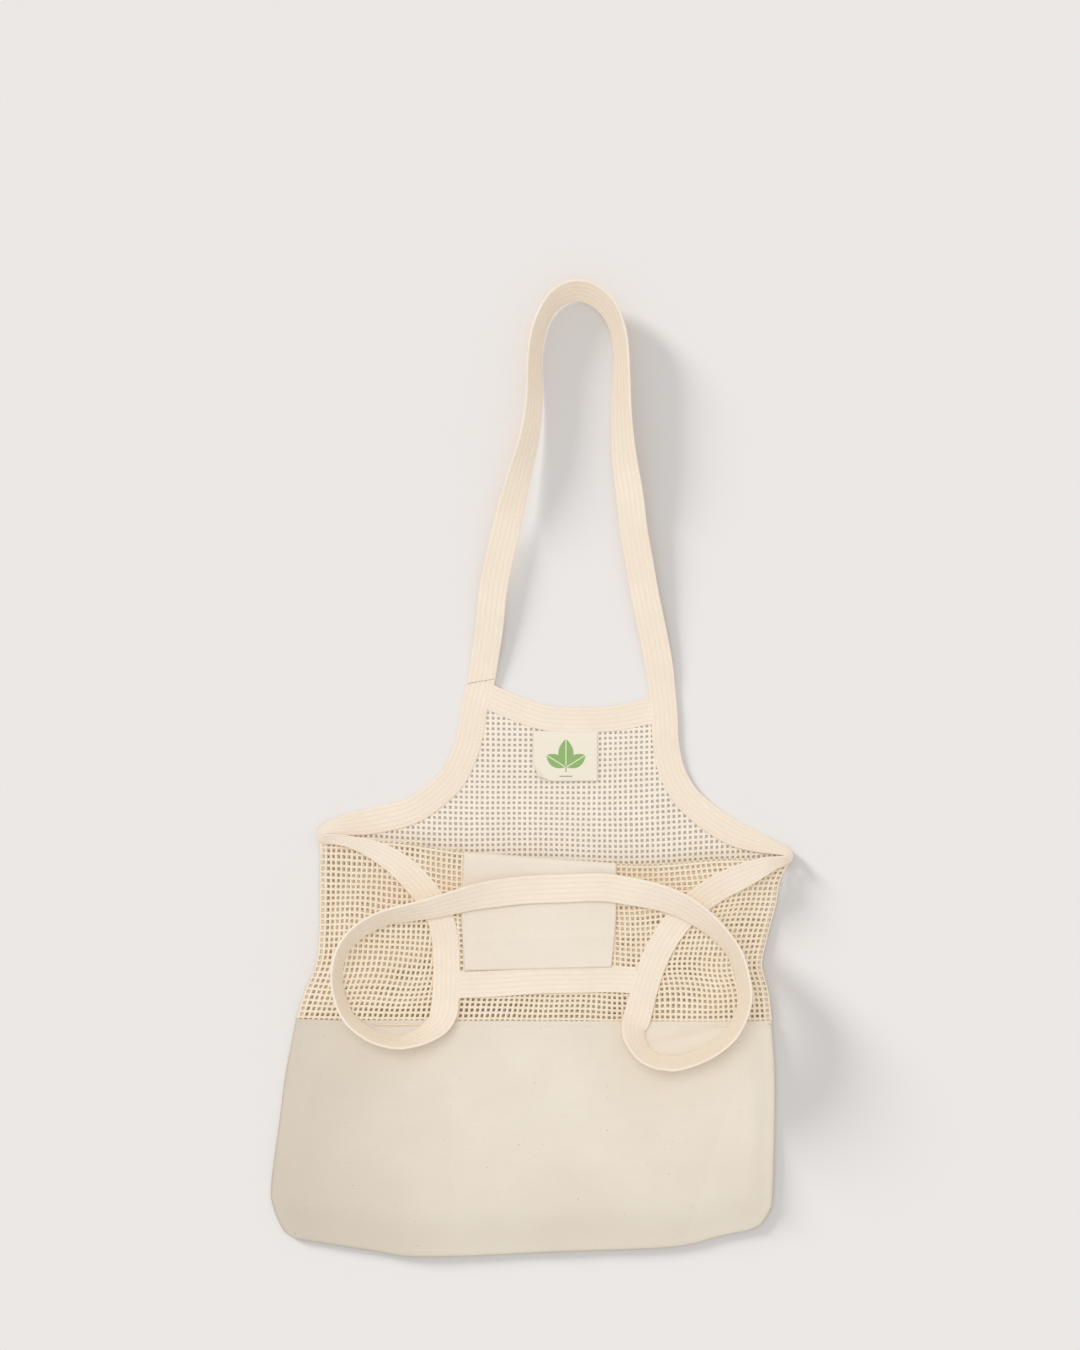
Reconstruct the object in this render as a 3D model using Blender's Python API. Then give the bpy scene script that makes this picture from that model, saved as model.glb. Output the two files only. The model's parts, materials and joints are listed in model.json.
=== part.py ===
"""Mesh produce bag lying flat, its front bib folded down over the front panel.

World frame: X to the right, Y towards the top of the raised handle, Z up off
the floor.  All dimensions below are in millimetres and become metres when a
mesh is made.
"""

import math

import bmesh
import bpy

# ---- driving dimensions, millimetres ----
TO_METRES = 0.001
CLOTH = 1.2            # thickness of the net and of the plain cotton panels
TAPE = 1.8             # thickness of the folded binding tape
TAPE_WIDTH = 17.5      # flat width of the binding tape
STRAP_WIDTH = 18.5     # flat width of the same tape along the handles
GAP = 0.4              # clear space left between neighbouring pieces
EDGE_TOP = 3.8         # height of the front panel where it meets the side seam
FRONT_TOP = 10.0       # height of the front panel over the filled-out middle
SIDE_REACH = 32.0      # width over which the front rises from a side seam
HEM_REACH = 45.0       # length over which the front rises from the bottom seam
POCKET_THICK = 0.9
LABEL_THICK = 0.6
SEAM_WIDTH = 5.0
SEAM_THICK = 0.6
MIDDLE = (-1.319, 0.266)   # middle of the whole outline, moved to the origin

COTTON = (0.80, 0.71, 0.57)
NET_COTTON = (0.78, 0.66, 0.50)
TAPE_COTTON = (0.86, 0.76, 0.61)
LABEL_CLOTH = (0.90, 0.86, 0.74)

# ---- outlines of the bag, millimetres, each from the bottom upwards ----
LEFT_SIDE = [(-155.5, -309.5), (-163.5, -304.5), (-170.5, -289.5), (-172.0, -274.5),
             (-166.5, -231.5), (-162.0, -198.5), (-155.5, -164.5)]
RIGHT_SIDE = [(143.5, -303.5), (151.5, -299.0), (156.0, -291.5), (158.5, -281.0),
              (160.0, -218.5), (159.5, -192.0), (157.5, -165.5)]
BOTTOM = [(-155.5, -309.5), (-107.0, -317.0), (-71.0, -321.5), (18.0, -318.0),
          (91.0, -315.0), (124.0, -307.5), (143.5, -303.5)]
NET_LEFT = [(-155.5, -164.5), (-149.5, -147.0), (-142.0, -127.5), (-140.0, -106.5),
            (-139.5, -66.5), (-139.5, -46.0)]
NET_RIGHT = [(157.5, -165.5), (155.0, -146.0), (151.0, -129.5), (154.0, -113.0),
             (160.0, -90.0), (163.0, -73.5), (169.5, -59.0)]
FOLD = [(-139.5, -46.0), (-120.5, -46.5), (-87.5, -48.0), (-45.0, -54.0), (11.5, -58.5),
        (71.0, -62.5), (124.0, -59.0), (169.5, -59.0)]

# ---- centre lines of the binding tape, from the corner of the mouth ----
BACK_LEFT_ARMHOLE = [(-136.5, -38.5), (-104.5, -34.0), (-82.0, -28.5), (-65.0, -18.0),
                     (-53.0, -6.5), (-46.0, 7.5), (-41.0, 24.0), (-37.5, 42.0), (-34.0, 57.5)]
BACK_RIGHT_ARMHOLE = [(167.0, -51.5), (149.0, -47.0), (130.5, -41.0), (114.0, -30.5),
                      (100.5, -17.0), (91.5, -0.5), (88.0, 16.0), (87.0, 35.5), (85.3, 50.0)]
BACK_NECKLINE = [(-24.5, 45.8), (-15.0, 41.5), (-1.5, 36.5), (11.5, 33.5), (28.0, 32.0),
                 (44.5, 32.5), (61.0, 34.5), (76.0, 37.3)]
BIB_LEFT = [(-137.0, -47.0, 5.0), (-120.5, -48.5, 9.0), (-104.5, -53.5, 15.0),
            (-91.0, -61.5, 17.5), (-79.0, -71.5, 17.5), (-67.5, -84.0, 17.5),
            (-60.5, -96.5, 17.5), (-57.0, -113.0, 17.5), (-56.5, -132.5, 17.5),
            (-57.0, -150.5, 17.5)]
BIB_RIGHT = [(167.0, -59.5, 4.0), (153.5, -63.5, 12.0), (137.0, -70.0, 16.5),
             (120.5, -78.5, 17.5), (107.0, -88.0, 17.5), (96.0, -99.0, 17.5),
             (87.0, -111.5, 17.5), (79.5, -126.0, 17.5), (74.0, -142.5, 17.5),
             (70.5, -156.0, 17.5)]
FRONT_HEM = [(-46.5, -141.3), (-21.5, -140.0), (11.5, -138.0), (44.5, -137.5), (63.0, -138.0)]

# ---- handles: x, y, height of the low edge, lean of the tape in degrees ----
BACK_HANDLE = [(-33.7, 59.5, 0.0, 0), (-29.5, 85.0, 0.0, 0), (-26.5, 111.5, 0.0, 4),
               (-22.0, 138.0, 0.0, 8), (-16.0, 164.5, 0.0, 16), (-9.5, 190.5, 0.0, 32),
               (-2.5, 217.0, 0.0, 46), (1.0, 243.5, 0.0, 54), (1.0, 266.5, 0.0, 60),
               (2.5, 283.0, 0.0, 62), (6.5, 296.5, 0.0, 62), (13.0, 307.0, 0.0, 57),
               (21.0, 313.0, 0.0, 50), (30.0, 315.0, 0.0, 47), (39.5, 312.5, 0.0, 48),
               (48.0, 305.5, 0.0, 52), (54.0, 295.0, 0.0, 57), (57.5, 280.0, 0.0, 58),
               (58.5, 256.5, 0.0, 54), (58.5, 230.5, 0.0, 44), (60.5, 204.0, 0.0, 30),
               (64.5, 177.5, 0.0, 15), (67.5, 151.0, 0.0, 7), (72.5, 124.5, 0.0, 3),
               (77.5, 98.5, 0.0, 0), (83.0, 72.0, 0.0, 0), (85.0, 52.0, 0.0, 0)]
LEFT_ROOT = [(-57.0, -151.0, 10.5, 0), (-58.0, -160.5, 10.8, 14), (-62.5, -169.5, 11.6, 32),
             (-73.0, -176.5, 12.6, 45), (-84.0, -179.3, 13.2, 50), (-88.5, -179.0, 13.2, 50)]
RIGHT_ROOT = [(86.5, -191.7, 13.2, 50), (82.0, -191.3, 13.2, 50), (74.0, -187.0, 13.0, 43),
              (67.5, -174.5, 11.6, 26), (68.5, -164.5, 10.8, 10), (70.4, -156.5, 10.5, 0)]
FRONT_LOOP = [(-89.5, -178.9, 13.2, 50), (-94.0, -178.4, 13.2, 50),
              (-106.0, -175.0, 13.4, 56), (-120.5, -164.5, 13.4, 62),
              (-127.5, -149.0, 13.4, 64), (-129.0, -132.5, 13.4, 62), (-125.0, -118.0, 13.6, 54),
              (-115.0, -106.5, 13.8, 40), (-97.5, -96.5, 14.0, 24), (-67.5, -88.0, 14.2, 8),
              (-34.5, -81.0, 14.0, 0), (5.0, -78.0, 14.0, 0), (44.5, -77.0, 14.0, 0),
              (77.5, -82.0, 14.2, 8), (104.0, -91.5, 14.0, 22), (120.5, -104.5, 13.8, 36),
              (133.0, -121.5, 13.6, 46), (138.5, -142.5, 13.4, 50), (137.5, -157.5, 13.4, 50),
              (131.0, -173.0, 13.4, 50), (118.0, -183.0, 13.3, 50), (104.0, -189.5, 13.2, 50),
              (93.0, -192.2, 13.2, 50), (88.0, -191.8, 13.2, 50)]


# ---- small geometry helpers ----

def smooth(points, steps):
    """Even curve through the points, with the given number of steps a span."""
    ends = [tuple(2 * a - b for a, b in zip(points[0], points[1]))]
    ends += list(points)
    ends.append(tuple(2 * a - b for a, b in zip(points[-1], points[-2])))
    line = []
    for p0, p1, p2, p3 in zip(ends, ends[1:], ends[2:], ends[3:]):
        for step in range(steps):
            t = step / steps
            line.append(tuple(
                0.5 * (2 * b + (c - a) * t + (2 * a - 5 * b + 4 * c - d) * t * t
                       + (3 * b - a - 3 * c + d) * t ** 3)
                for a, b, c, d in zip(p0, p1, p2, p3)))
    line.append(tuple(points[-1]))
    return line


def spaced(line, count):
    """The polyline resampled at count + 1 points an equal length apart."""
    lengths = [0.0]
    for a, b in zip(line, line[1:]):
        lengths.append(lengths[-1] + math.dist(a[:2], b[:2]))
    result, span = [], 0
    for k in range(count + 1):
        target = lengths[-1] * k / count
        while span < len(line) - 2 and lengths[span + 1] < target:
            span += 1
        t = (target - lengths[span]) / max(lengths[span + 1] - lengths[span], 1e-9)
        result.append(tuple(p + (q - p) * t for p, q in zip(line[span], line[span + 1])))
    return result


def beside(line, distance):
    """The polyline moved sideways, positive to the right of its direction."""
    moved = []
    for k, point in enumerate(line):
        a, b = line[max(k - 1, 0)], line[min(k + 1, len(line) - 1)]
        dx, dy = b[0] - a[0], b[1] - a[1]
        length = math.hypot(dx, dy)
        moved.append((point[0] + distance * dy / length, point[1] - distance * dx / length))
    return moved


def ramp(distance, reach):
    """Smooth 0 to 1 as distance goes from nothing to reach."""
    t = min(max(distance / reach, 0.0), 1.0)
    return t * t * (3 - 2 * t)


def across(line, y):
    """X of a line that climbs in Y, at the height y."""
    if y <= line[0][1]:
        return line[0][0]
    for a, b in zip(line, line[1:]):
        if a[1] <= y <= b[1]:
            return a[0] + (b[0] - a[0]) * (y - a[1]) / max(b[1] - a[1], 1e-9)
    return line[-1][0]


def bottom_y(x):
    """Y of the bottom seam at x."""
    for a, b in zip(BOTTOM, BOTTOM[1:]):
        if a[0] <= x <= b[0]:
            return a[1] + (b[1] - a[1]) * (x - a[0]) / (b[0] - a[0])
    return BOTTOM[0][1] if x < 0 else BOTTOM[-1][1]


def front_height(x, y):
    """Height of the outer face of the front panel over the floor."""
    left = x - across(LEFT_SIDE + NET_LEFT[1:], y)
    right = across(RIGHT_SIDE + NET_RIGHT[1:], y) - x
    rise = ramp(left, SIDE_REACH) * ramp(right, SIDE_REACH) * ramp(y - bottom_y(x), HEM_REACH)
    return EDGE_TOP + (FRONT_TOP - EDGE_TOP) * rise


def bib_height(x, y, width=0.0):
    """Underside of a piece of this width that lies flat on the front panel."""
    reach = (-width / 2, 0.0, width / 2)
    return max(front_height(x + a, y + b) for a in reach for b in reach) + GAP + 0.1


# ---- mesh makers ----

def finished(name, vertices, faces, colour, roughness=0.9):
    """One object with its own material from points in millimetres."""
    mesh = bpy.data.meshes.new(name)
    placed = [((x - MIDDLE[0]) * TO_METRES, (y - MIDDLE[1]) * TO_METRES, z * TO_METRES)
              for x, y, z in vertices]
    mesh.from_pydata(placed, [], faces)
    outward = bmesh.new()
    outward.from_mesh(mesh)
    bmesh.ops.recalc_face_normals(outward, faces=outward.faces)
    outward.to_mesh(mesh)
    outward.free()
    material = bpy.data.materials.new(name)
    material.use_nodes = True
    shader = material.node_tree.nodes["Principled BSDF"]
    shader.inputs["Base Color"].default_value = (*colour, 1.0)
    shader.inputs["Roughness"].default_value = roughness
    shader.inputs["Metallic"].default_value = 0.0
    mesh.materials.append(material)
    obj = bpy.data.objects.new(name, mesh)
    bpy.context.scene.collection.objects.link(obj)
    return obj


def panel(name, sides, counts, underside, thickness, colour):
    """Closed sheet over a four-sided patch: left, right, bottom, top edges."""
    columns, rows = counts
    left, right = (spaced(line, rows) for line in sides[:2])
    bottom, top = (spaced(line, columns) for line in sides[2:])
    low, high = [], []
    for j in range(rows + 1):
        for i in range(columns + 1):
            u, v = i / columns, j / rows
            place = []
            for axis in (0, 1):
                corners = ((1 - u) * (1 - v) * bottom[0][axis] + u * (1 - v) * bottom[-1][axis]
                           + (1 - u) * v * top[0][axis] + u * v * top[-1][axis])
                place.append((1 - u) * left[j][axis] + u * right[j][axis]
                             + (1 - v) * bottom[i][axis] + v * top[i][axis] - corners)
            z = underside(*place)
            low.append((*place, z))
            high.append((*place, z + thickness))
    return finished(name, low + high, sheet_faces(columns, rows), colour)


def sheet_faces(columns, rows):
    """Faces of a closed sheet whose lower grid comes before its upper one."""
    across_row, layer = columns + 1, (columns + 1) * (rows + 1)
    faces = []
    for j in range(rows):
        for i in range(columns):
            a = j * across_row + i
            quad = (a, a + 1, a + 1 + across_row, a + across_row)
            faces.append(quad)
            faces.append(tuple(k + layer for k in reversed(quad)))
    rim = list(range(columns)) + [columns + j * across_row for j in range(rows)]
    rim += [rows * across_row + i for i in range(columns, 0, -1)]
    rim += [j * across_row for j in range(rows, 0, -1)]
    for a, b in zip(rim, rim[1:] + rim[:1]):
        faces.append((a, b, b + layer, a + layer))
    return faces


def tape(name, line, colour=TAPE_COTTON, thickness=TAPE):
    """Closed strip along points of x, y, low edge height, lean, width.

    A positive lean lifts the edge on the left of the direction of travel.
    """
    vertices, faces = [], []
    for k, (x, y, low, lean, width) in enumerate(line):
        a, b = line[max(k - 1, 0)], line[min(k + 1, len(line) - 1)]
        length = math.hypot(b[0] - a[0], b[1] - a[1])
        side = ((b[1] - a[1]) / length, -(b[0] - a[0]) / length)
        c, s = math.cos(math.radians(lean)), math.sin(math.radians(lean))
        middle = low + width / 2 * s + thickness / 2 * c
        for w, t in ((-1, -1), (1, -1), (1, 1), (-1, 1)):
            flat = w * width / 2 * c + t * thickness / 2 * s
            up = -w * width / 2 * s + t * thickness / 2 * c
            vertices.append((x + side[0] * flat, y + side[1] * flat, middle + up))
    for ring in range(len(line) - 1):
        for n in range(4):
            a, b = ring * 4 + n, ring * 4 + (n + 1) % 4
            faces.append((a, b, b + 4, a + 4))
    last = len(vertices) - 4
    faces.append((3, 2, 1, 0))
    faces.append((last, last + 1, last + 2, last + 3))
    return finished(name, vertices, faces, colour)


def flat_tape(name, points, height, width=TAPE_WIDTH, **finish):
    """Tape lying flat; height is a number or a function of x and y."""
    line = []
    for x, y in smooth(points, 3):
        low = height(x, y, width) if callable(height) else height
        line.append((x, y, low, 0.0, width))
    return tape(name, line, **finish)


# ---- the pieces ----

def base_panels():
    """Plain cotton lower halves of the back and of the front."""
    seam = [LEFT_SIDE[-1], RIGHT_SIDE[-1]]
    sides = [smooth(LEFT_SIDE, 4), smooth(RIGHT_SIDE, 4), smooth(BOTTOM, 4), seam]
    panel("back_base_panel", sides, (18, 12), lambda x, y: 0.0, CLOTH, COTTON)
    panel("front_base_panel", sides, (22, 16),
          lambda x, y: front_height(x, y) - CLOTH, CLOTH, COTTON)


def raised(line, step):
    """Every point of the line moved up in Y."""
    return [(p[0], p[1] + step) for p in line]


def net_panels():
    """Net upper halves; the back one reaches up between the armholes."""
    seam = raised([LEFT_SIDE[-1], RIGHT_SIDE[-1]], GAP)
    left = raised(NET_LEFT[:1], GAP) + smooth(NET_LEFT, 4)[2:]
    right = raised(NET_RIGHT[:1], GAP) + smooth(NET_RIGHT, 4)[2:]
    panel("front_net_panel", [left, right, seam, smooth(FOLD, 4)], (24, 12),
          lambda x, y: front_height(x, y) - CLOTH, CLOTH, NET_COTTON)
    reach = TAPE_WIDTH / 2 + 3 * GAP
    left_edge = beside(smooth(BACK_LEFT_ARMHOLE, 4), reach)[2:-6]
    right_edge = beside(smooth(BACK_RIGHT_ARMHOLE, 4), -reach)[2:-5]
    neck = beside(smooth(BACK_NECKLINE, 4), reach)[2:-2]
    panel("back_net_panel", [left[:-2] + left_edge + neck[:1], right[:-2] + right_edge + neck[-1:],
                             seam, neck], (20, 20), lambda x, y: 0.0, CLOTH, NET_COTTON)


def bib_panels():
    """Net of the folded bib and the plain cotton pocket sewn on it."""
    reach = TAPE_WIDTH / 2 + 3 * GAP
    left = [p[:2] for p in smooth(BIB_LEFT, 4)]
    right = [p[:2] for p in smooth(BIB_RIGHT, 4)]
    hem = beside(smooth(FRONT_HEM, 4), -reach)
    fold = [p for p in raised(smooth(FOLD, 4), -GAP) if -93 < p[0] < 131]
    left_edge = beside(left, -reach)
    right_edge = beside(right, reach)
    left_edge = [p for p in left_edge if -89 < p[0] and p[1] > hem[0][1] + 4]
    right_edge = [p for p in right_edge if p[0] < 125 and p[1] > hem[-1][1] + 4]
    bottom = [(left_edge[-1][0], hem[0][1])] + hem[2:-2] + [(right_edge[-1][0] - 2.5, hem[-1][1])]
    sides = [bottom[:1] + left_edge[::-1] + fold[:1], bottom[-1:] + right_edge[::-1] + fold[-1:],
             bottom, fold]
    panel("bib_net_panel", sides, (20, 12), bib_height, CLOTH, NET_COTTON)
    sewn = [[(-44.5, -130.0), (-46.5, -94.5), (-45.0, -56.5)],
            [(52.0, -127.5), (55.0, -94.5), (55.0, -63.5)],
            [(-44.5, -130.0), (52.0, -127.5)],
            [(-45.0, -56.5), (11.5, -60.5), (55.0, -63.5)]]
    panel("bib_pocket", sewn, (12, 8), lambda x, y: bib_height(x, y) + CLOTH + 0.3,
          POCKET_THICK, COTTON)


def seams():
    """Seam allowances that hold the back to the front round three sides."""
    left = beside(smooth(LEFT_SIDE, 3)[4:] + smooth(NET_LEFT, 3)[1:-2], SEAM_WIDTH / 2 + 0.6)
    right = beside(smooth(RIGHT_SIDE, 3)[5:] + smooth(NET_RIGHT, 3)[1:-2],
                   -SEAM_WIDTH / 2 - 0.6)
    bottom = beside(smooth(BOTTOM, 3)[2:-1], -SEAM_WIDTH / 2 - 0.6)
    for name, line in (("side_seam_left", left), ("side_seam_right", right),
                       ("bottom_seam", bottom)):
        tape(name, [(*p, CLOTH + 0.3, 0.0, SEAM_WIDTH) for p in line], COTTON, SEAM_THICK)


def bindings():
    """Folded tape round the two armholes and the two necklines."""
    flat_tape("back_left_binding", BACK_LEFT_ARMHOLE, 0.0)
    flat_tape("back_right_binding", BACK_RIGHT_ARMHOLE, 0.0)
    flat_tape("back_neckline_binding", BACK_NECKLINE, 0.0, 16.5)
    flat_tape("front_neckline_binding", FRONT_HEM, bib_height)


def joined_tape(name, edge, root, from_root):
    """Binding of one bib edge that carries on as the root of the handle."""
    flat = [(x, y, bib_height(x, y, wide), 0.0, wide) for x, y, wide in smooth(edge, 3)[:-1]]
    leaning = [(*p, STRAP_WIDTH) for p in smooth(root, 4)]
    if from_root:
        tape(name, leaning + flat[::-1])
    else:
        tape(name, flat + leaning)


def handles():
    """The loop of the back handle and the loop of the front handle."""
    for name, line in (("back_handle_strap", BACK_HANDLE), ("front_handle_strap", FRONT_LOOP)):
        tape(name, [(x, y, low, max(lean, 0.0), STRAP_WIDTH)
                    for x, y, low, lean in smooth(line, 3)])


def label():
    """Small woven label sewn along its top edge below the back neckline."""
    sides = [[(0.5, -8.0), (0.5, 22.5)], [(43.0, -8.0), (43.0, 22.5)],
             [(0.5, -8.0), (43.0, -8.0)], [(0.5, 22.5), (43.0, 22.5)]]
    panel("back_label", sides, (4, 4), lambda x, y: CLOTH + 0.4, LABEL_THICK, LABEL_CLOTH)


def build():
    """Clear the scene, then make every piece of the bag."""
    for old in list(bpy.data.objects):
        bpy.data.objects.remove(old)
    base_panels()
    net_panels()
    bib_panels()
    seams()
    bindings()
    joined_tape("bib_left_binding", BIB_LEFT, LEFT_ROOT, False)
    joined_tape("bib_right_binding", BIB_RIGHT, RIGHT_ROOT, True)
    handles()
    label()


build()
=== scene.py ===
"""Mesh produce bag laid flat with its front bib folded down, dressed in cotton.

Plans are drawn in millimetres, X to the right and Y towards the top of the
raised handle, and become metres in the frame's own place when a mesh is made.
"""

import json
import math

import bpy
import numpy as np
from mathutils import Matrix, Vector


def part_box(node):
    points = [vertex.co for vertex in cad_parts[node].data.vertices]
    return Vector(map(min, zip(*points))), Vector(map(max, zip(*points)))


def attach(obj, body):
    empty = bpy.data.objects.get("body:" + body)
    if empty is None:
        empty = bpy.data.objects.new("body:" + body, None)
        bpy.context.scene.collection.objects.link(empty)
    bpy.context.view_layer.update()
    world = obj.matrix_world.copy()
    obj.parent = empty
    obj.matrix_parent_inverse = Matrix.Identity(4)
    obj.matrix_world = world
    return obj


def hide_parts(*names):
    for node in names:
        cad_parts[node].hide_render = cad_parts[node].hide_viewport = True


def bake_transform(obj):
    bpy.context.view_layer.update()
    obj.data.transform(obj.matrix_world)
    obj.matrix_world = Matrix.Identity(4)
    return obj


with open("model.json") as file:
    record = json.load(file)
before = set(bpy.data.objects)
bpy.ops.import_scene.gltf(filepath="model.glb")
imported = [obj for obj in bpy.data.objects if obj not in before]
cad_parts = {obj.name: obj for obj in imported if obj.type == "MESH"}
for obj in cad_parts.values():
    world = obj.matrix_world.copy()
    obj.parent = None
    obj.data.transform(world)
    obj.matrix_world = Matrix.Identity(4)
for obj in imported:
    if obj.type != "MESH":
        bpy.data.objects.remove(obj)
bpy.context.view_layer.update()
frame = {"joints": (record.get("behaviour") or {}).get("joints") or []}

MM = 0.001
LABEL_CORNER = (0.5, -8.0)          # low left corner of the label on the plan
label_low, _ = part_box("back_label")
ORIGIN = np.array([label_low.x / MM - LABEL_CORNER[0], label_low.y / MM - LABEL_CORNER[1], 0.0])

# ---- cloth and tape, millimetres ----
CLOTH = 1.2
TAPE = 1.8
TAPE_WIDTH = 17.5
STRAP_WIDTH = 18.5
EDGE_TOP = 3.8
FRONT_TOP = 10.0
SIDE_REACH = 32.0
SIDE_REACH_LOSS = 14.0              # the base rises more steeply than the net
SEAM_LEVEL = -165.0                 # of the seam between net and base
HEM_REACH = 30.0
ROW_PITCH = 3.15                    # between rows of stitching along the tape
MESH_PITCH = 3.5                    # one hole and one thread of the net
FOLD_RADIUS = 1.6
LAYER_GAP = 0.5                     # air between a piece and what it lies on
OUTLINE_MIDDLE = 1.4                # middle of the front cloth where it meets the outline
OUTLINE_ROUND = 3.4                 # how far in the pillow edge takes to turn up
BACK_MIDDLE = 0.62                  # middle of the back calico over the floor
BACK_NET_MIDDLE = 0.36
BACK_LINE = -168                    # where the net of the back starts, under the base
BACK_NET_INSET = 0.9                # keeps that net inside the outline of the front
GROOVE_DEPTH = 0.08                 # of each row of stitching in the tape
GROOVE_SHARE = 0.05                 # its breadth as a share of half the tape
KNOT_HALF_WIDTH, SPAN_HALF_WIDTH = 1.06, 0.84
KNOT_HALF_THICK, SPAN_HALF_THICK = 0.34, 0.26
NET_SIDES = 6                       # corners of a thread's section

# ---- outlines, each from the bottom upwards or from left to right ----
LEFT_SIDE = [(-155.5, -309.5), (-163.5, -304.5), (-170.5, -289.5), (-172.0, -274.5),
             (-166.5, -231.5), (-162.0, -198.5), (-155.5, -164.5)]
RIGHT_SIDE = [(143.5, -303.5), (151.5, -299.0), (156.0, -291.5), (158.5, -281.0),
              (160.0, -218.5), (159.5, -192.0), (157.5, -165.5)]
BOTTOM = [(-155.5, -309.5), (-107.0, -317.0), (-71.0, -321.5), (18.0, -318.0),
          (91.0, -315.0), (124.0, -307.5), (143.5, -303.5)]
NET_LEFT = [(-155.5, -164.5), (-149.5, -147.0), (-142.0, -127.5), (-140.0, -106.5),
            (-139.5, -66.5), (-139.5, -46.0)]
NET_RIGHT = [(157.5, -165.5), (155.0, -146.0), (151.0, -129.5), (154.0, -113.0),
             (160.0, -90.0), (163.0, -73.5), (169.5, -59.0)]
FOLD = [(-139.5, -46.0), (-120.5, -46.5), (-87.5, -48.0), (-45.0, -54.0), (11.5, -58.5),
        (71.0, -62.5), (124.0, -59.0), (169.5, -59.0)]
NECKLINE = [(-34.0, 50.8), (-26.0, 46.6), (-15.0, 41.5), (-1.5, 36.5), (11.5, 33.5), (28.0, 32.0),
            (44.5, 32.5), (61.0, 34.5), (84.0, 39.2)]
HEM = [(-50.5, -141.5), (-21.5, -140.0), (11.5, -138.0), (44.5, -137.5), (68.0, -138.2)]
SEAM = [(-155.5, -164.5), (157.5, -165.5)]

# ---- tape round the armholes: x, y, low edge, lean, width; None lies on the front ----
LEFT_ARMHOLE = [
    (-34.0, 57.5, 0, 0, 18), (-37.5, 42.0, 0, 0, 17.5), (-41.0, 24.0, 0, 0, 17.5),
    (-46.0, 7.5, 0, 0, 17.5), (-53.0, -6.5, 0, 0, 17.5), (-65.0, -18.0, 0, 0, 17.5),
    (-82.0, -28.5, 0, 0, 17.5), (-104.5, -34.0, 0, 0, 17.5), (-116.0, -36.0, 0, 3, 15.5),
    (-124.5, -37.2, 0.1, 8, 13.2), (-131.5, -38.2, 0.5, 18, 10.0), (-136.8, -40.2, 1.4, 34, 8.2),
    (-139.0, -43.0, 2.8, 44, 7.6), (-136.6, -45.6, 4.2, 36, 7.2), (-129.5, -46.0, 5.2, 16, 7.2),
    (-118.0, -47.9, None, 4, 8.2), (-104.5, -52.6, None, 0, 12.2), (-91.0, -60.3, None, 0, 15.6),
    (-79.0, -70.7, None, 0, 17.3), (-67.5, -84.0, None, 0, 17.5), (-60.5, -96.5, None, 0, 17.5),
    (-57.0, -113.0, None, 0, 17.5), (-56.5, -132.5, None, 0, 17.5), (-57.0, -151.0, None, 0, 17.8),
    (-58.2, -159.5, 10.6, 14, 18.5), (-62.5, -167.0, 10.8, 38, 18.5),
    (-73.0, -174.0, 10.9, 58, 18.5), (-84.0, -177.6, 10.9, 68, 18.5),
    (-89.0, -177.8, 10.9, 70, 18.5)]
RIGHT_ARMHOLE = [
    (85.3, 51.0, 0, 0, 18), (87.0, 35.5, 0, 0, 17.5), (88.0, 16.0, 0, 0, 17.5),
    (91.5, -0.5, 0, 0, 17.5), (100.5, -17.0, 0, 0, 17.5), (114.0, -30.5, 0, 0, 17.5),
    (130.5, -41.0, 0, 0, 17.0), (143.0, -46.2, 0, -3, 14.8), (152.5, -49.6, 0.1, -8, 11.8),
    (160.5, -52.2, 0.6, -18, 8.6), (166.6, -54.4, 1.6, -34, 7.0), (169.4, -57.2, 3.0, -44, 6.6),
    (167.0, -59.6, 4.3, -36, 6.8), (161.5, -61.0, 5.2, -16, 8.2), (152.5, -63.5, None, -4, 12.2),
    (137.0, -70.0, None, 0, 16.5), (120.5, -78.5, None, 0, 17.5), (107.0, -88.0, None, 0, 17.5),
    (96.0, -99.0, None, 0, 17.5), (87.0, -111.5, None, 0, 17.5), (79.5, -126.0, None, 0, 17.5),
    (74.0, -142.5, None, 0, 17.5), (70.4, -156.5, None, 0, 17.8), (68.5, -163.5, 10.8, -10, 18.5),
    (66.2, -172.5, 10.9, -38, 18.5), (71.5, -184.4, 10.9, -58, 18.5),
    (80.5, -190.4, 10.9, -66, 18.5), (87.25, -191.6, 10.9, -68, 18.5)]

# ---- the handles: x, y, low edge, lean ----
BACK_HANDLE = [
    (-34.0, 57.5, 0, 0), (-29.5, 85.0, 1.6, 0), (-26.5, 111.5, 3.2, 4), (-22, 138, 3.8, 8),
    (-16, 164.5, 3.6, 16), (-9.5, 190.5, 2.6, 32), (-2.5, 217.0, 1.2, 46), (1.0, 243.5, 0.2, 54),
    (1.0, 266.5, 0, 60), (2.5, 283.0, 0, 62), (6.5, 296.5, 0, 62), (13.0, 307.0, 0, 57),
    (21.0, 313.0, 0, 50), (30.0, 315.0, 0, 47), (39.5, 312.5, 0, 48), (48.0, 305.5, 0, 52),
    (54.0, 295.0, 0, 57), (57.5, 280.0, 0, 58), (58.5, 256.5, 0.6, 54), (58.5, 230.5, 1.8, 44),
    (60.5, 204.0, 3.0, 30), (64.5, 177.5, 3.8, 15), (67.5, 151.0, 4.0, 7), (72.5, 124.5, 3.6, 3),
    (77.5, 98.5, 2.6, 0), (83.0, 72.0, 1.2, 0), (85.3, 51.0, 0, 0)]
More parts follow.
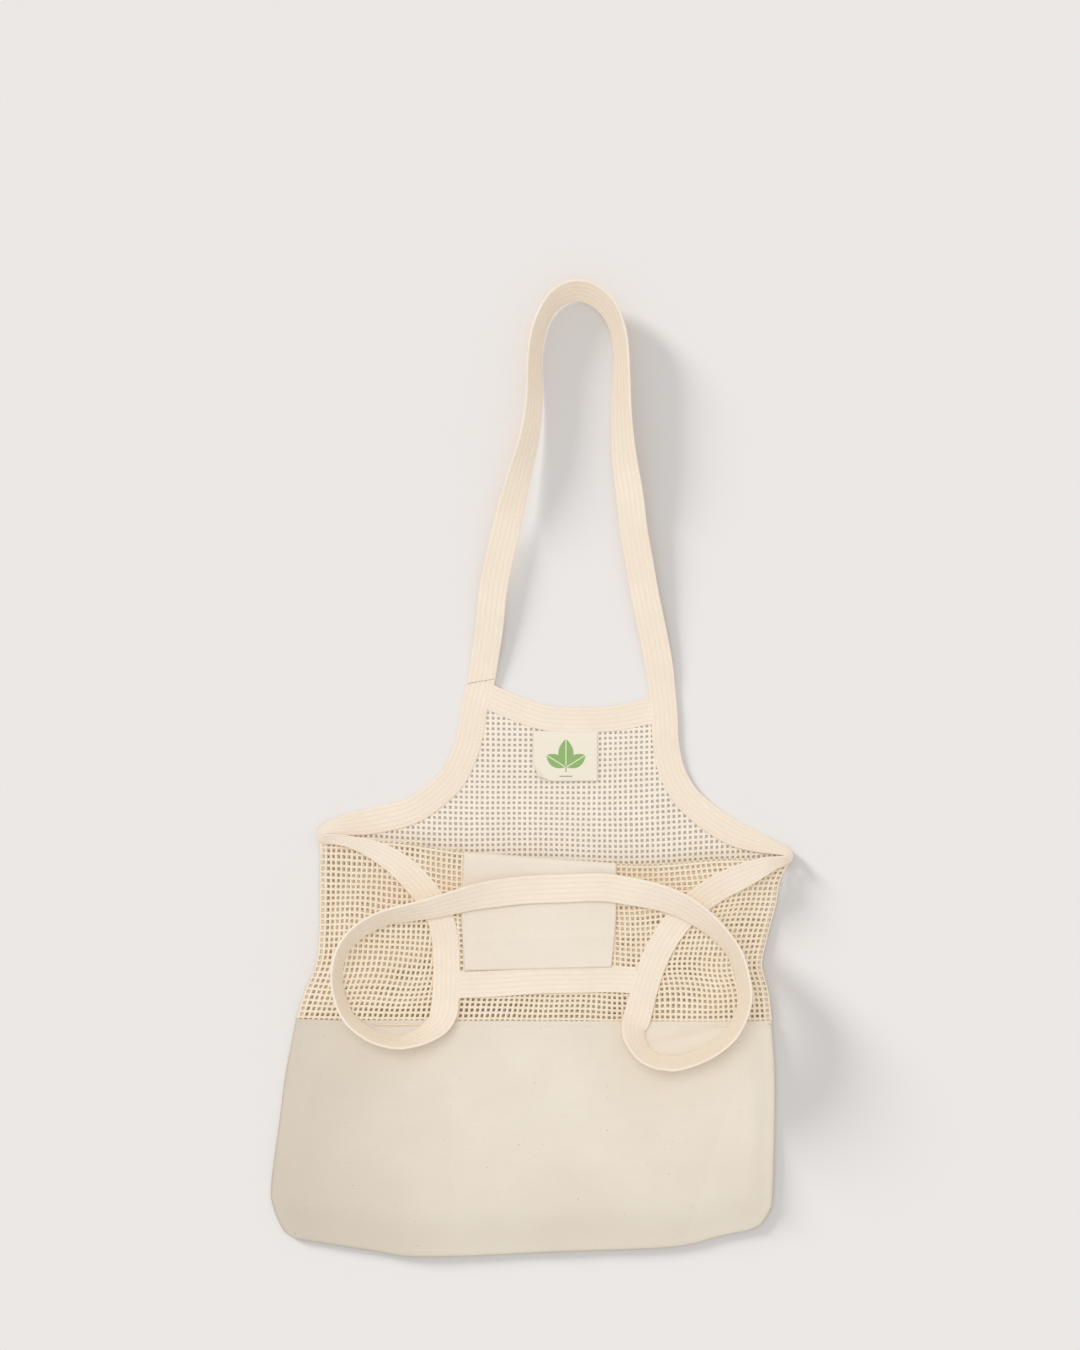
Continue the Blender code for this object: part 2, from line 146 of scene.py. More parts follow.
FRONT_LOOP = [
    (-89.0, -177.8, 10.9, 70), (-94.0, -177.3, 10.9, 71), (-106.0, -173.2, 11.3, 72),
    (-119.6, -162.5, 11.8, 73), (-126.6, -147.5, 12.2, 73), (-128.0, -132.0, 12.4, 72),
    (-123.8, -117.0, 12.8, 67), (-113.5, -105.2, 13.2, 60), (-97.5, -97.0, 13.6, 54),
    (-80.0, -92.8, 13.9, 49), (-66.0, -90.0, 14.1, 42), (-50.0, -86.4, 14.1, 31),
    (-33.0, -82.4, 14.0, 18), (-14.0, -79.6, 14.0, 8), (8.0, -78.0, 14.0, 2),
    (44.5, -77.4, 14.0, 2), (62.0, -79.2, 14.0, 7), (77.5, -82.0, 14.1, 15),
    (92.0, -86.4, 14.1, 26), (105.5, -93.0, 14.0, 38),
    (120.5, -105.0, 13.4, 52), (133.0, -121.5, 12.8, 61), (138.8, -142.5, 12.2, 66),
    (137.7, -156.5, 11.8, 68), (130.6, -171.6, 11.4, 69), (118.0, -182.6, 11.1, 69),
    (104.0, -189.2, 10.9, 69), (93.0, -192.0, 10.9, 68), (87.25, -191.6, 10.9, 68)]


# ---- lines and heights ----

def smooth(points, step, before=None, after=None):
    """Curve through the points, sampled evenly about every step along it."""
    known = np.array(points, float)
    first = 2 * known[0] - known[1] if before is None else np.array(before, float)
    last = 2 * known[-1] - known[-2] if after is None else np.array(after, float)
    ends = np.vstack([first, known, last])
    t = np.linspace(0, 1, 24, endpoint=False)[:, None]
    parts = []
    for a, b, c, d in zip(ends, ends[1:], ends[2:], ends[3:]):
        parts.append(0.5 * (2 * b + (c - a) * t + (2 * a - 5 * b + 4 * c - d) * t ** 2
                            + (3 * b - a - 3 * c + d) * t ** 3))
    line = np.vstack(parts + [known[-1:]])
    run = np.append(0, np.cumsum(np.linalg.norm(np.diff(line[:, :2], axis=0), axis=1)))
    at = np.linspace(0, run[-1], max(2, int(round(run[-1] / step)) + 1))
    return np.stack([np.interp(at, run, column) for column in line.T], axis=1)


def ramp(distance, reach):
    t = np.clip(np.asarray(distance, float) / reach, 0, 1)
    return t * t * (3 - 2 * t)


def along_y(line, y):
    line = np.array(line)
    return np.interp(y, line[:, 1], line[:, 0])


def along_x(line, x):
    line = np.array(line)
    return np.interp(x, line[:, 0], line[:, 1])


LEFT_EDGE = np.vstack([smooth(LEFT_SIDE, 4), smooth(NET_LEFT, 4)[1:]])
RIGHT_EDGE = np.vstack([smooth(RIGHT_SIDE, 4), smooth(NET_RIGHT, 4)[1:]])
BOTTOM_EDGE = smooth(BOTTOM, 4)


def waves(x, y, length, seed, count=6):
    """Soft unevenness between about -1 and 1 with hills of the given length."""
    draw = np.random.default_rng(seed)
    total = np.zeros(np.broadcast(x, y).shape)
    for _ in range(count):
        turn, phase = draw.uniform(0, math.tau, 2)
        reach = length * draw.uniform(0.7, 1.6)
        total += np.sin((x * math.cos(turn) + y * math.sin(turn)) * math.tau / reach + phase)
    return total / math.sqrt(count * 1.6)


def front_height(x, y):
    """Outer face of the front over the floor."""
    left = x - along_y(LEFT_EDGE, y)
    right = along_y(RIGHT_EDGE, y) - x
    up = y - along_x(BOTTOM_EDGE, x)
    reach = SIDE_REACH - SIDE_REACH_LOSS * ramp(SEAM_LEVEL - y, 50)
    rise = ramp(left, reach) * ramp(right, reach) * ramp(up, HEM_REACH)
    return EDGE_TOP + (FRONT_TOP - EDGE_TOP) * rise


def rounded(x, y):
    """From 0 at the outline to 1 just inside it, as a pillow edge turns."""
    within = np.minimum(x - along_y(LEFT_EDGE, y), along_y(RIGHT_EDGE, y) - x)
    within = np.minimum(within, y - along_x(BOTTOM_EDGE, x))
    t = np.clip(within / OUTLINE_ROUND, 0, 1)
    return np.sqrt(1 - (1 - t) ** 2)


def front_middle(x, y):
    rise = front_height(x, y) - CLOTH / 2 - OUTLINE_MIDDLE
    return OUTLINE_MIDDLE + rise * rounded(x, y)


def bib_height(x, y, width=0.0):
    """Underside of a piece of this width that lies on the front."""
    reach = (-0.5 * width, 0.0, 0.5 * width)
    highest = np.max([front_height(x + a, y + b) for a in reach for b in reach], axis=0)
    return highest + LAYER_GAP


# ---- meshes ----

def new_piece(name, points, faces, cloth, material):
    """A piece from plan points, with its own cloth coordinates in millimetres."""
    mesh = bpy.data.meshes.new(name)
    mesh.from_pydata(((np.asarray(points) + ORIGIN) * MM).tolist(), [], faces)
    mesh.polygons.foreach_set("use_smooth", np.array([len(f) < 5 for f in faces]))
    held = mesh.attributes.new("cloth", "FLOAT_VECTOR", "POINT")
    held.data.foreach_set("vector", np.asarray(cloth, np.float32).ravel())
    mesh.materials.append(material)
    obj = bpy.data.objects.new(name, mesh)
    bpy.context.scene.collection.objects.link(obj)
    return obj


def unit(vectors):
    return vectors / np.maximum(np.linalg.norm(vectors, axis=-1, keepdims=True), 1e-9)


def rings_to_faces(rings, around, first=0):
    """Closed skin over rings of points that follow each other, with both ends capped."""
    ring, spoke = np.meshgrid(np.arange(rings - 1), np.arange(around), indexing="ij")
    here, beyond = ring * around, (ring + 1) * around
    nxt = (spoke + 1) % around
    quads = np.stack([here + spoke, here + nxt, beyond + nxt, beyond + spoke], -1) + first
    faces = quads.reshape(-1, 4).tolist()
    faces.append([first + k for k in range(around - 1, -1, -1)])
    faces.append([first + (rings - 1) * around + k for k in range(around)])
    return faces


def tape_section(thickness):
    """Half section of folded tape: place across (-1 to 1) and face height in millimetres."""
    across = [-1.0, -0.985, -0.94]
    rows = [k * ROW_PITCH / (TAPE_WIDTH / 2) for k in (-2, -1, 0, 1, 2)]
    for k, row in enumerate(rows):
        across += [row - 0.1, row - 0.04, row, row + 0.04, row + 0.1]
        if k < 4:
            across.append(row + 0.18)
    across += [0.94, 0.985, 1.0]
    across = np.array(across)
    depth = np.min([np.abs(across - row) for row in rows], axis=0)
    face = thickness / 2 - GROOVE_DEPTH * np.exp(-(depth / GROOVE_SHARE) ** 2)
    edge = np.clip((1 - np.abs(across)) / 0.09, 0, 1)
    return across, face * np.sqrt(1 - (1 - edge) ** 2)


def tapes(runs, material, slot, thickness=TAPE, seed=1, step=2.0, closed=False, plain=False):
    """One folded tape cut into pieces that share the rings at their ends.

    Each run is named and lists x, y, low edge, lean and width; a positive lean
    lifts the edge on the left of travel. Normals are worked out along the whole
    tape, so no line shows where it is cut.
    """
    names, lists = list(runs), list(runs.values())
    lines = []
    for k, stations in enumerate(lists):
        before = lists[k - 1][-2] if closed or k else None
        after = lists[(k + 1) % len(lists)][1] if closed or k + 1 < len(lists) else None
        lines.append(smooth(stations, step, before, after))
    whole = np.vstack([line[:-1] for line in lines] + [lines[-1][-1:]])
    x, y, low, lean, width = whole.T
    run = np.append(0, np.cumsum(np.hypot(np.diff(x), np.diff(y))))
    wobble = waves(run, run * 0, 45.0, seed) * ramp(run, 20) * ramp(run[-1] - run, 20)
    heading = np.gradient(whole[:, :2], axis=0)
    if closed:
        heading[0] = heading[-1] = whole[1, :2] - whole[-2, :2]
    heading = unit(heading)
    left = np.stack([-heading[:, 1], heading[:, 0], 0 * x], 1)
    x, y = x + left[:, 0] * wobble * 0.25, y + left[:, 1] * wobble * 0.25
    angle = np.radians(lean + ramp(np.abs(lean) - 4, 10) * 1.6 * wobble)
    middle = low + width / 2 * np.sin(np.abs(angle)) + thickness / 2 * np.cos(angle)
    centre = np.stack([x, y, middle], 1)
    upward = np.array([0.0, 0.0, 1.0])
    broad = left * np.cos(angle)[:, None] + upward * np.sin(angle)[:, None]
    face = upward * np.cos(angle)[:, None] - left * np.sin(angle)[:, None]
    if plain:
        across = np.linspace(-1, 1, 7)
        height = thickness / 2 * np.array([0.3, 0.9, 1, 1, 1, 0.9, 0.3])
    else:
        across, height = tape_section(thickness)
    u = np.concatenate([across, across[-2:0:-1]])
    v = np.concatenate([height, -height[-2:0:-1]])
    points = (centre[:, None] + broad[:, None] * (u * 0.5)[None, :, None] * width[:, None, None]
              + face[:, None] * v[None, :, None])
    cloth = np.stack(np.broadcast_arrays(u[None] * TAPE_WIDTH / 2, run[:, None], seed * 7.0), -1)
    ahead = np.gradient(points, axis=0)
    if closed:
        ahead[0] = ahead[-1] = points[1] - points[-2]
    normal = unit(np.cross(np.roll(points, -1, axis=1) - np.roll(points, 1, axis=1), ahead))
    made, begin = [], 0
    for name, line in zip(names, lines):
        end = begin + len(line)
        made.append(new_piece(name, points[begin:end].reshape(-1, 3),
                              rings_to_faces(len(line), len(u)),
                              cloth[begin:end].reshape(-1, 3), material))
        shared = normal[begin:end].reshape(-1, 3).tolist()
        made[-1].data.normals_split_custom_set_from_vertices(shared)
        begin = end - 1
    return made


def tape(name, stations, material, slot, **settings):
    """One folded tape on its own."""
    return tapes({name: stations}, material, slot, **settings)[0]


def turned(stations):
    """The same tape travelled the other way."""
    return [(x, y, low, -lean, width) for x, y, low, lean, width in reversed(stations)]


def patch(left, right, bottom, top, columns, rows):
    """Plan points over a four-sided outline, shape (rows + 1, columns + 1, 2)."""
    def even(line, count):
        line = smooth(line, 1.0)[:, :2]
        run = np.append(0, np.cumsum(np.linalg.norm(np.diff(line, axis=0), axis=1)))
        at = np.linspace(0, run[-1], count + 1)
        return np.stack([np.interp(at, run, c) for c in line.T], 1)
    left, right = even(left, rows)[:, None], even(right, rows)[:, None]
    bottom, top = even(bottom, columns)[None], even(top, columns)[None]
    u = np.linspace(0, 1, columns + 1)[None, :, None]
    v = np.linspace(0, 1, rows + 1)[:, None, None]
    corners = ((1 - u) * (1 - v) * bottom[:, :1] + u * (1 - v) * bottom[:, -1:]
               + (1 - u) * v * top[:, :1] + u * v * top[:, -1:])
    return (1 - u) * left + u * right + (1 - v) * bottom + v * top - corners


def facing(grid):
    """Unit normals of a grid of points."""
    return unit(np.cross(np.gradient(grid, axis=1), np.gradient(grid, axis=0)))


def shell(name, grid, thickness, material, cloth=None):
    """Closed thin cloth about a grid of middle points."""
    rows, columns = grid.shape[:2]
    out = facing(grid) * (thickness / 2)
    points = np.concatenate([(grid + out).reshape(-1, 3), (grid - out).reshape(-1, 3)])
    flat = grid if cloth is None else cloth
    flat = np.concatenate([flat.reshape(-1, 3)] * 2)
    index = np.arange(rows * columns).reshape(rows, columns)
    quads = np.stack([index[:-1, :-1], index[:-1, 1:], index[1:, 1:], index[1:, :-1]], -1)
    upper, layer = quads.reshape(-1, 4), rows * columns
    rim = np.concatenate([index[0, :-1], index[:-1, -1], index[-1, :0:-1], index[:0:-1, 0]])
    nxt = np.roll(rim, -1)
    side = np.stack([rim, rim + layer, nxt + layer, nxt], -1)
    faces = np.concatenate([upper, upper[:, ::-1] + layer, side]).tolist()
    return new_piece(name, points, faces, flat, material)


def inside(points, outline):
    """Which plan points lie within a closed outline."""
    x, y = points[..., 0], points[..., 1]
    found = np.zeros(x.shape, bool)
    line = np.asarray(outline)[:, :2]
    for (ax, ay), (bx, by) in zip(line, np.roll(line, -1, axis=0)):
        if ay == by:
            continue
        crosses = (ay > y) != (by > y)
        found ^= crosses & (x < (bx - ax) * (y - ay) / (by - ay) + ax)
    return found


def net(name, grid, keep, material, skip_first_row=False, seed=3, full=1.0):
    """Knitted net over a grid of middle points whose spacing is half a mesh.

    Every second line of the grid is a thread, and threads swell at their knots;
    full widens them all.
    """
    normal = facing(grid)
    draw = np.random.default_rng(seed)
    section = np.arange(NET_SIDES) * math.tau / NET_SIDES
    points, cloth, faces, used = [], [], [], 0
    for way in (0, 1):
        lines = grid if way == 0 else grid.transpose(1, 0, 2)
        ups = normal if way == 0 else normal.transpose(1, 0, 2)
        kept = keep if way == 0 else keep.T
        for number in range(2 if way == 0 and skip_first_row else 0, len(lines), 2):
            line, up = lines[number], ups[number]
            padded = np.concatenate([[0], kept[number].astype(int), [0]])
            marks = np.flatnonzero(np.diff(padded))
            for begin, end in zip(marks[::2], marks[1::2]):
                if end - begin < 3:
                    continue
                middle, n = line[begin:end], up[begin:end]
                knot = (np.arange(begin, end) % 2 == 0)
                swell = draw.normal(1, 0.06, end - begin)
                wide = np.where(knot, KNOT_HALF_WIDTH, SPAN_HALF_WIDTH) * swell * full
                thick = np.where(knot, KNOT_HALF_THICK, SPAN_HALF_THICK)
                crimp = np.where(knot, 0.08, -0.03) * (1 if way else -1)
                ahead = unit(np.gradient(middle, axis=0))
                side = unit(np.cross(ahead, n))
                stray = draw.normal(0, 0.07, end - begin)
                middle = middle + n * crimp[:, None] + side * stray[:, None]
                ring = (middle[:, None]
                        + side[:, None] * (np.cos(section)[None] * wide[:, None])[..., None]
                        + n[:, None] * (np.sin(section)[None] * thick[:, None])[..., None])
                run = np.arange(begin, end) * MESH_PITCH / 2
                flat = np.stack(np.broadcast_arrays(
                    run[:, None], np.degrees(section)[None] / 60.0,
                    number * 1.37 + way * 300.0), -1)
                faces += rings_to_faces(end - begin, NET_SIDES, used)
                used += (end - begin) * NET_SIDES
                points.append(ring.reshape(-1, 3))
                cloth.append(flat.reshape(-1, 3))
    return new_piece(name, np.concatenate(points), faces, np.concatenate(cloth),
                     material)


# ---- finishes ----

def linear(*shade):
    """Red, green and blue of 0 to 255 as the shader's light values."""
    parts = [s / 255 for s in shade]
    light = [p / 12.92 if p <= 0.04045 else ((p + 0.055) / 1.055) ** 2.4 for p in parts]
    return (*light, 1.0)


class Value:
    """One socket of a finish, so that sums on it read as sums."""

    def __init__(self, finish, socket):
        self.finish, self.socket = finish, socket

    def math(self, operation, *others):
        sockets = dict(enumerate((self, *others)))
        return self.finish.node("ShaderNodeMath", {"operation": operation}, sockets)

    def __add__(self, other):
        return self.math("ADD", other)

    def __sub__(self, other):
        return self.math("SUBTRACT", other)

    def __mul__(self, other):
        return self.math("MULTIPLY", other)

    def __truediv__(self, other):
        return self.math("DIVIDE", other)

    def __pow__(self, other):
        return self.math("POWER", other)

    def __mod__(self, other):
        return self.math("FLOORED_MODULO", other)

    def __abs__(self):
        return self.math("ABSOLUTE")

    def __rsub__(self, other):
        return self * -1 + other

    __radd__ = __add__
    __rmul__ = __mul__

    def wave(self, length):
        return (self * (math.tau / length)).math("SINE")

    def from_line(self, pitch):
        """Distance to the nearest of evenly spaced lines."""
        return abs((self + pitch / 2) % pitch - pitch / 2)

    def fade(self, start, end):
        """0 at start to 1 at end, smoothly."""
        return self.finish.node("ShaderNodeMapRange", {"interpolation_type": "SMOOTHSTEP"},
                                {"Value": self, "From Min": start, "From Max": end})


class Finish:
    """A cloth material written on the coordinates that each piece carries."""

    def __init__(self, name):
        self.material = bpy.data.materials.new(name)
        self.material.use_nodes = True
        self.tree = self.material.node_tree
        self.shader = self.tree.nodes["Principled BSDF"]
        place = self.node("ShaderNodeAttribute", {"attribute_name": "cloth"}, {}, "Vector")
        self.place = place
        split = self.node("ShaderNodeSeparateXYZ", {}, {0: place})
        outputs = split.socket.node.outputs
        self.u, self.v = Value(self, outputs[0]), Value(self, outputs[1])

    def node(self, kind, settings, sockets, output=0):
        made = self.tree.nodes.new(kind)
        for key, value in settings.items():
            setattr(made, key, value)
        for key, value in sockets.items():
            if isinstance(value, Value):
                self.tree.links.new(value.socket, made.inputs[key])
            else:
                made.inputs[key].default_value = value
        return Value(self, made.outputs[output])

    def stretched(self, x, y):
        return self.node("ShaderNodeVectorMath", {"operation": "MULTIPLY"},
                         {0: self.place, 1: (x, y, 1.0)})

    def noise(self, scale, detail=2.0, where=None):
        return self.node("ShaderNodeTexNoise", {},
                         {"Vector": where or self.place, "Scale": scale, "Detail": detail,
                          "Roughness": 0.55})

    def mix(self, factor, first, second):
        return self.node("ShaderNodeMix", {"data_type": "RGBA"},
                         {0: factor, 6: first, 7: second}, 2)

    def glow(self, colour, strength):
        """Painted light: what loose yarn passes on through itself and what bounces into its shaded
        parts, added back as a faint glow.
        """
        self.tree.links.new(colour.socket, self.shader.inputs["Emission Color"])
        self.shader.inputs["Emission Strength"].default_value = strength

    def finished(self, colour, roughness, height, depth, strength, sheen):
        bump = self.node("ShaderNodeBump", {},
                         {"Height": height, "Distance": depth, "Strength": strength})
        for name, value in (("Base Color", colour), ("Roughness", roughness), ("Normal", bump)):
            self.tree.links.new(value.socket, self.shader.inputs[name])
        self.shader.inputs["Sheen Weight"].default_value = sheen
        self.shader.inputs["Sheen Roughness"].default_value = 0.45
        self.shader.inputs["Sheen Tint"].default_value = (1.0, 0.95, 0.87, 1.0)
        self.shader.inputs["Specular IOR Level"].default_value = 0.25
        return self.material


def plain_weave(name, light, dark, thread, specks, painted_shade=0.0):
    """Calico: an even weave with slubs, cloudy colour, a few flecks of seed husk and, where asked,
    painted shade towards the left side and the bottom.
    """
    f = Finish(name)
    drift = f.noise(0.35) * 0.5
    warp, weft = (f.u + drift).wave(thread), (f.v + drift).wave(thread)
    weave = warp * weft
    along = f.noise(1.0, 3.0, f.stretched(0.06, 1.7))
    over = f.noise(1.0, 3.0, f.stretched(1.7, 0.06))
    slub = along * 0.5 + over * 0.5
    cloud = f.noise(0.018, 3.0)
    fleck = f.noise(0.42, 1.0).fade(0.765, 0.80) * specks
    shade = f.mix((cloud * 0.7 + slub * 0.5 - 0.1).fade(0.2, 0.8), dark, light)
    colour = f.mix(weave * 0.04 + 0.04, shade, linear(196, 178, 150))
    # painted shade: the calico is darkened towards its left side and, more weakly, towards the
    # bottom, in place of shading there
    colour = f.mix((1 - f.u.fade(-175, -35)) * painted_shade, colour, linear(190, 178, 160))
    colour = f.mix((1 - f.v.fade(-330, -235)) * painted_shade * 0.55, colour, linear(196, 184, 166))
    colour = f.mix(fleck, colour, linear(128, 100, 66))
    relief = weave * 0.35 + slub * 1.1 + f.noise(0.12, 3.0) * 1.5
    return f.finished(colour, 0.84 + slub * 0.12, relief, 0.00022, 0.55, 0.12)


def tape_knit(name):
    """Folded cotton tape: fine chevrons, rows of stitches with painted shade along them, and a
    painted highlight along both folded edges.
    """
    f = Finish(name)
    row = f.u.from_line(ROW_PITCH)
    dash = (f.v + (f.u / ROW_PITCH).math("ROUND") * 1.1).from_line(2.7)
    on_row, on_dash = 1 - row.fade(0.30, 0.52), 1 - dash.fade(0.95, 1.2)
    stitch = on_row * on_dash * (1 - abs(f.u).fade(7.2, 7.6))
    rib = (f.v + f.u.from_line(1.05) * 1.1).wave(0.9)
    slub = f.noise(1.0, 3.0, f.stretched(1.1, 0.12))
    cloud = f.noise(0.03, 2.0)
    shade = f.mix((cloud * 0.6 + slub * 0.6 - 0.1).fade(0.2, 0.8),
                  linear(238, 223, 204), linear(247, 234, 216))
    # painted shade in the grooves along each row of stitching
    shade = f.mix((1 - row.fade(0.1, 0.7)) * 0.4, shade, linear(224, 205, 180))
    shade = f.mix(stitch * 0.5, shade, linear(245, 232, 213))
    # painted highlight: lighter along both folded edges of the tape
    colour = f.mix(abs(f.u).fade(8.0, 8.9) * 0.3, shade, linear(250, 240, 224))
    made = f.finished(colour, 0.82 + slub * 0.14, rib * 0.25 + stitch * 0.6 + slub * 0.8,
                      0.00024, 0.5, 0.14)
    # painted light: a faint warm glow that lifts and warms the tape where it is shaded
    f.glow(f.mix(0.5, colour, linear(235, 192, 148)), 0.045)
    return made


def net_cotton(name, light, dark, through, strength):
    """Soft twisted yarn, a little uneven from thread to thread."""
    f = Finish(name)
    ply = (f.u * 1.0 + f.v * 0.28).wave(1.1)
    fuzz = f.noise(1.6, 3.0)
    yarn = f.noise(0.05, 2.0)
    shade = f.mix((yarn * 0.8 + fuzz * 0.35 - 0.08).fade(0.25, 0.8), dark, light)
    colour = f.mix(ply * 0.06 + 0.06, shade, linear(205, 182, 150))
    made = f.finished(colour, 0.84 + fuzz * 0.12, ply * 0.6 + fuzz * 0.8, 0.0002, 0.6, 0.14)
    # painted light: the yarn's faint glow lifts the shade in and between the layers of net
    f.glow(f.mix(0.5, colour, through), strength)
    return made


def label_print():
    """Woven label with a plain sprig of three leaves and a blank size bar."""
    f = Finish("label_satin")
    x, y = f.u, f.v

    def leaf(root_x, root_y, turn, length, breadth):
        c, s = math.cos(turn), math.sin(turn)
        ahead = ((x - root_x) * c + (y - root_y) * s) / length
        side = abs((y - root_y) * c - (x - root_x) * s) / breadth
        body = side + (ahead * 2 - 1) ** 2
        vein = (side * breadth).fade(0.18, 0.42)
        return (1 - body.fade(0.93, 1.0)) * vein

    centre_x, base_y = 21.6, 9.2
    sprig = leaf(centre_x, base_y, math.radians(90), 19.0, 5.2)
    for turn in (32, 148):
        sprig = sprig.math("MAXIMUM", leaf(centre_x, base_y, math.radians(turn), 15.5, 4.4))
    stem = (1 - abs(x - centre_x).fade(0.3, 0.5)) * (1 - abs(y - base_y + 1.0).fade(2.0, 2.3))
    printed = sprig.math("MAXIMUM", stem)
    thread = x.wave(0.5) * y.wave(0.36)
    worn = f.noise(1.4, 3.0)
    ground = f.mix(worn, linear(240, 231, 211), linear(245, 237, 219))
    colour = f.mix(printed * (0.82 + worn * 0.2), ground, linear(133, 178, 96))
    bar = (1 - abs(x - centre_x).fade(4.2, 4.5)) * (1 - abs(y - 3.2).fade(0.35, 0.6))
    colour = f.mix(bar * 0.55, colour, linear(96, 92, 84))
    return f.finished(colour, 0.62 + worn * 0.15, thread * 0.4 + printed * 0.3, 0.00012, 0.4, 0.1)


def dark_thread():
    f = Finish("join_thread")
    ply = (f.u + f.v * 0.3).wave(0.5)
    colour = f.mix(ply * 0.5 + 0.5, linear(136, 124, 108), linear(172, 160, 142))
    return f.finished(colour, 0.7 + ply * 0.1, ply, 0.0001, 0.6, 0.1)


# the front's calico carries painted shade towards its left side and bottom
BASE_COTTON = plain_weave("base_calico", linear(244, 234, 218), linear(235, 224, 206),
                          0.55, 0.5, painted_shade=0.45)
BACK_COTTON = plain_weave("back_calico", linear(243, 233, 217), linear(234, 223, 205), 0.55, 0.5)
POCKET_COTTON = plain_weave("pocket_calico", linear(248, 237, 221), linear(242, 229, 211), 0.5, 0.2)
SEAM_COTTON = plain_weave("seam_calico", linear(243, 232, 214), linear(236, 222, 203), 0.5, 0.0)
TAPE_COTTON = tape_knit("tape_cotton")
NET_COTTON = net_cotton("net_yarn", linear(249, 236, 216), linear(241, 223, 197),
                        linear(235, 200, 158), 0.08)
# painted light: the back's copy of the same net yarn is lighter and whiter and glows a little more,
# lifting the back net where its holes lie in shade
LIGHTER_BACK_NET_COTTON = net_cotton("back_net_yarn_painted_lighter", linear(250, 241, 227), linear(243, 232, 215),
                             linear(244, 222, 192), 0.085)
LABEL_CLOTH = label_print()
JOIN_THREAD = dark_thread()


# ---- the base: two calico panels closed like a flat pillow ----

def crease(x, y, start, end, breadth, depth):
    """A soft pressed line between two plan points."""
    a, b = np.array(start, float), np.array(end, float)
    d = b - a
    length = np.hypot(*d)
    along = ((x - a[0]) * d[0] + (y - a[1]) * d[1]) / length
    off = ((x - a[0]) * d[1] - (y - a[1]) * d[0]) / length
    held = ramp(along + 25, 50) * ramp(length + 25 - along, 50)
    return depth * held * np.exp(-(off / breadth) ** 2)


def creases(x, y, lines):
    return sum(crease(x, y, *line) for line in lines)


# start, end, breadth and depth of each; the second set lies under the curls of the handle
PRESSED_LINES = [((-55, -205), (-50, -312), 5, -0.45), ((-150, -240), (140, -246), 7, -0.35),
                 ((133, -208), (101, -308), 3.0, -0.45), ((45, -236), (110, -262), 8, 0.35)]
LINES_UNDER_LOOP = [((-104, -170), (-74, -170), 3.6, -2.2), ((82, -181), (126, -170), 4.2, -2.2),
                    ((-150, -182), (-118, -171), 5.0, -0.9), ((-60, -190), (-20, -181), 6.0, -0.5),
                    ((20, -178), (66, -183), 6.0, -0.5)]
BASE_CLOTH = 1.0

base_plan = patch(LEFT_SIDE, RIGHT_SIDE, BOTTOM, SEAM, 170, 84)
bx, by = base_plan[..., 0], base_plan[..., 1]
calm = ramp(-by - 200, 30) * rounded(bx, by)
rumple = calm * (0.55 * waves(bx, by, 95, 11) + 0.18 * waves(bx, by, 34, 12))
rumple += calm * creases(bx, by, PRESSED_LINES)
rumple += rounded(bx, by) * creases(bx, by, LINES_UNDER_LOOP)
above_seam = by - along_x(SEAM, bx)
top_hem = 0.5 * np.exp(-((above_seam + 1.2) / 1.1) ** 2)
top_hem -= 0.35 * np.exp(-((above_seam + 4.2) / 0.7) ** 2)
front_base_grid = np.dstack([base_plan, front_middle(bx, by) + rumple + top_hem])
front_base = shell("front_base", front_base_grid, BASE_CLOTH, BASE_COTTON)
back_base_grid = np.dstack([base_plan, BACK_MIDDLE + 0 * bx])
back_base = shell("back_base", back_base_grid, BASE_CLOTH, BACK_COTTON)

# ---- the net of the back, of the front and of the folded bib ----

LEFT_LINE = smooth([p[:2] for p in LEFT_ARMHOLE[:11]], 3)
RIGHT_LINE = smooth([p[:2] for p in RIGHT_ARMHOLE[:10]], 3)
half = MESH_PITCH / 2
columns = np.arange(-150, 166, half)
rows = np.arange(BACK_LINE, 50, half)
gx, gy = np.meshgrid(columns, rows)
lifted = BACK_NET_MIDDLE + 0.04 * waves(gx, gy, 60, 21)
back_grid = np.dstack([gx + 0.7 * waves(gx, gy, 120, 22), gy + 0.9 * waves(gx, gy, 110, 23)
                       + 0.00035 * (gx - 10) ** 2 * ramp(gy + 120, 120), lifted])
left_net = [(NET_LEFT[0][0], BACK_LINE)] + list(smooth(NET_LEFT, 4))
right_net = [(NET_RIGHT[0][0], BACK_LINE)] + list(smooth(NET_RIGHT, 4))
back_outline = ([(p[0] + BACK_NET_INSET, p[1]) for p in left_net] + LEFT_LINE[::-1].tolist()
                + smooth(NECKLINE, 3).tolist() + RIGHT_LINE.tolist()
                + [(p[0] - BACK_NET_INSET, p[1]) for p in right_net[::-1]])
back_net = net("back_net", back_grid, inside(back_grid, back_outline), LIGHTER_BACK_NET_COTTON,
               seed=31, full=1.2)

FRONT_COLUMNS, FRONT_ROWS = 178, 62
fold_flat = [(x, y - FOLD_RADIUS) for x, y in FOLD]
start = [(x, y - 2.5) for x, y in SEAM]
front_plan = patch([start[0]] + NET_LEFT[1:-1] + fold_flat[:1],
                   [start[1]] + NET_RIGHT[1:-1] + fold_flat[-1:], start, fold_flat,
                   FRONT_COLUMNS, FRONT_ROWS)
fx, fy = front_plan[..., 0], front_plan[..., 1]
share_up = np.linspace(0, 1, FRONT_ROWS + 1)[:, None]
share_over = np.linspace(0, 1, FRONT_COLUMNS + 1)[None]
loose = (np.minimum(1, 8 * share_up * (1 - share_up))
         * np.minimum(1, 12 * share_over * (1 - share_over)))
front_plan = front_plan + np.dstack([waves(fx, fy, 60, 28) * loose,
                                     1.3 * waves(fx, fy, 55, 29) * loose])


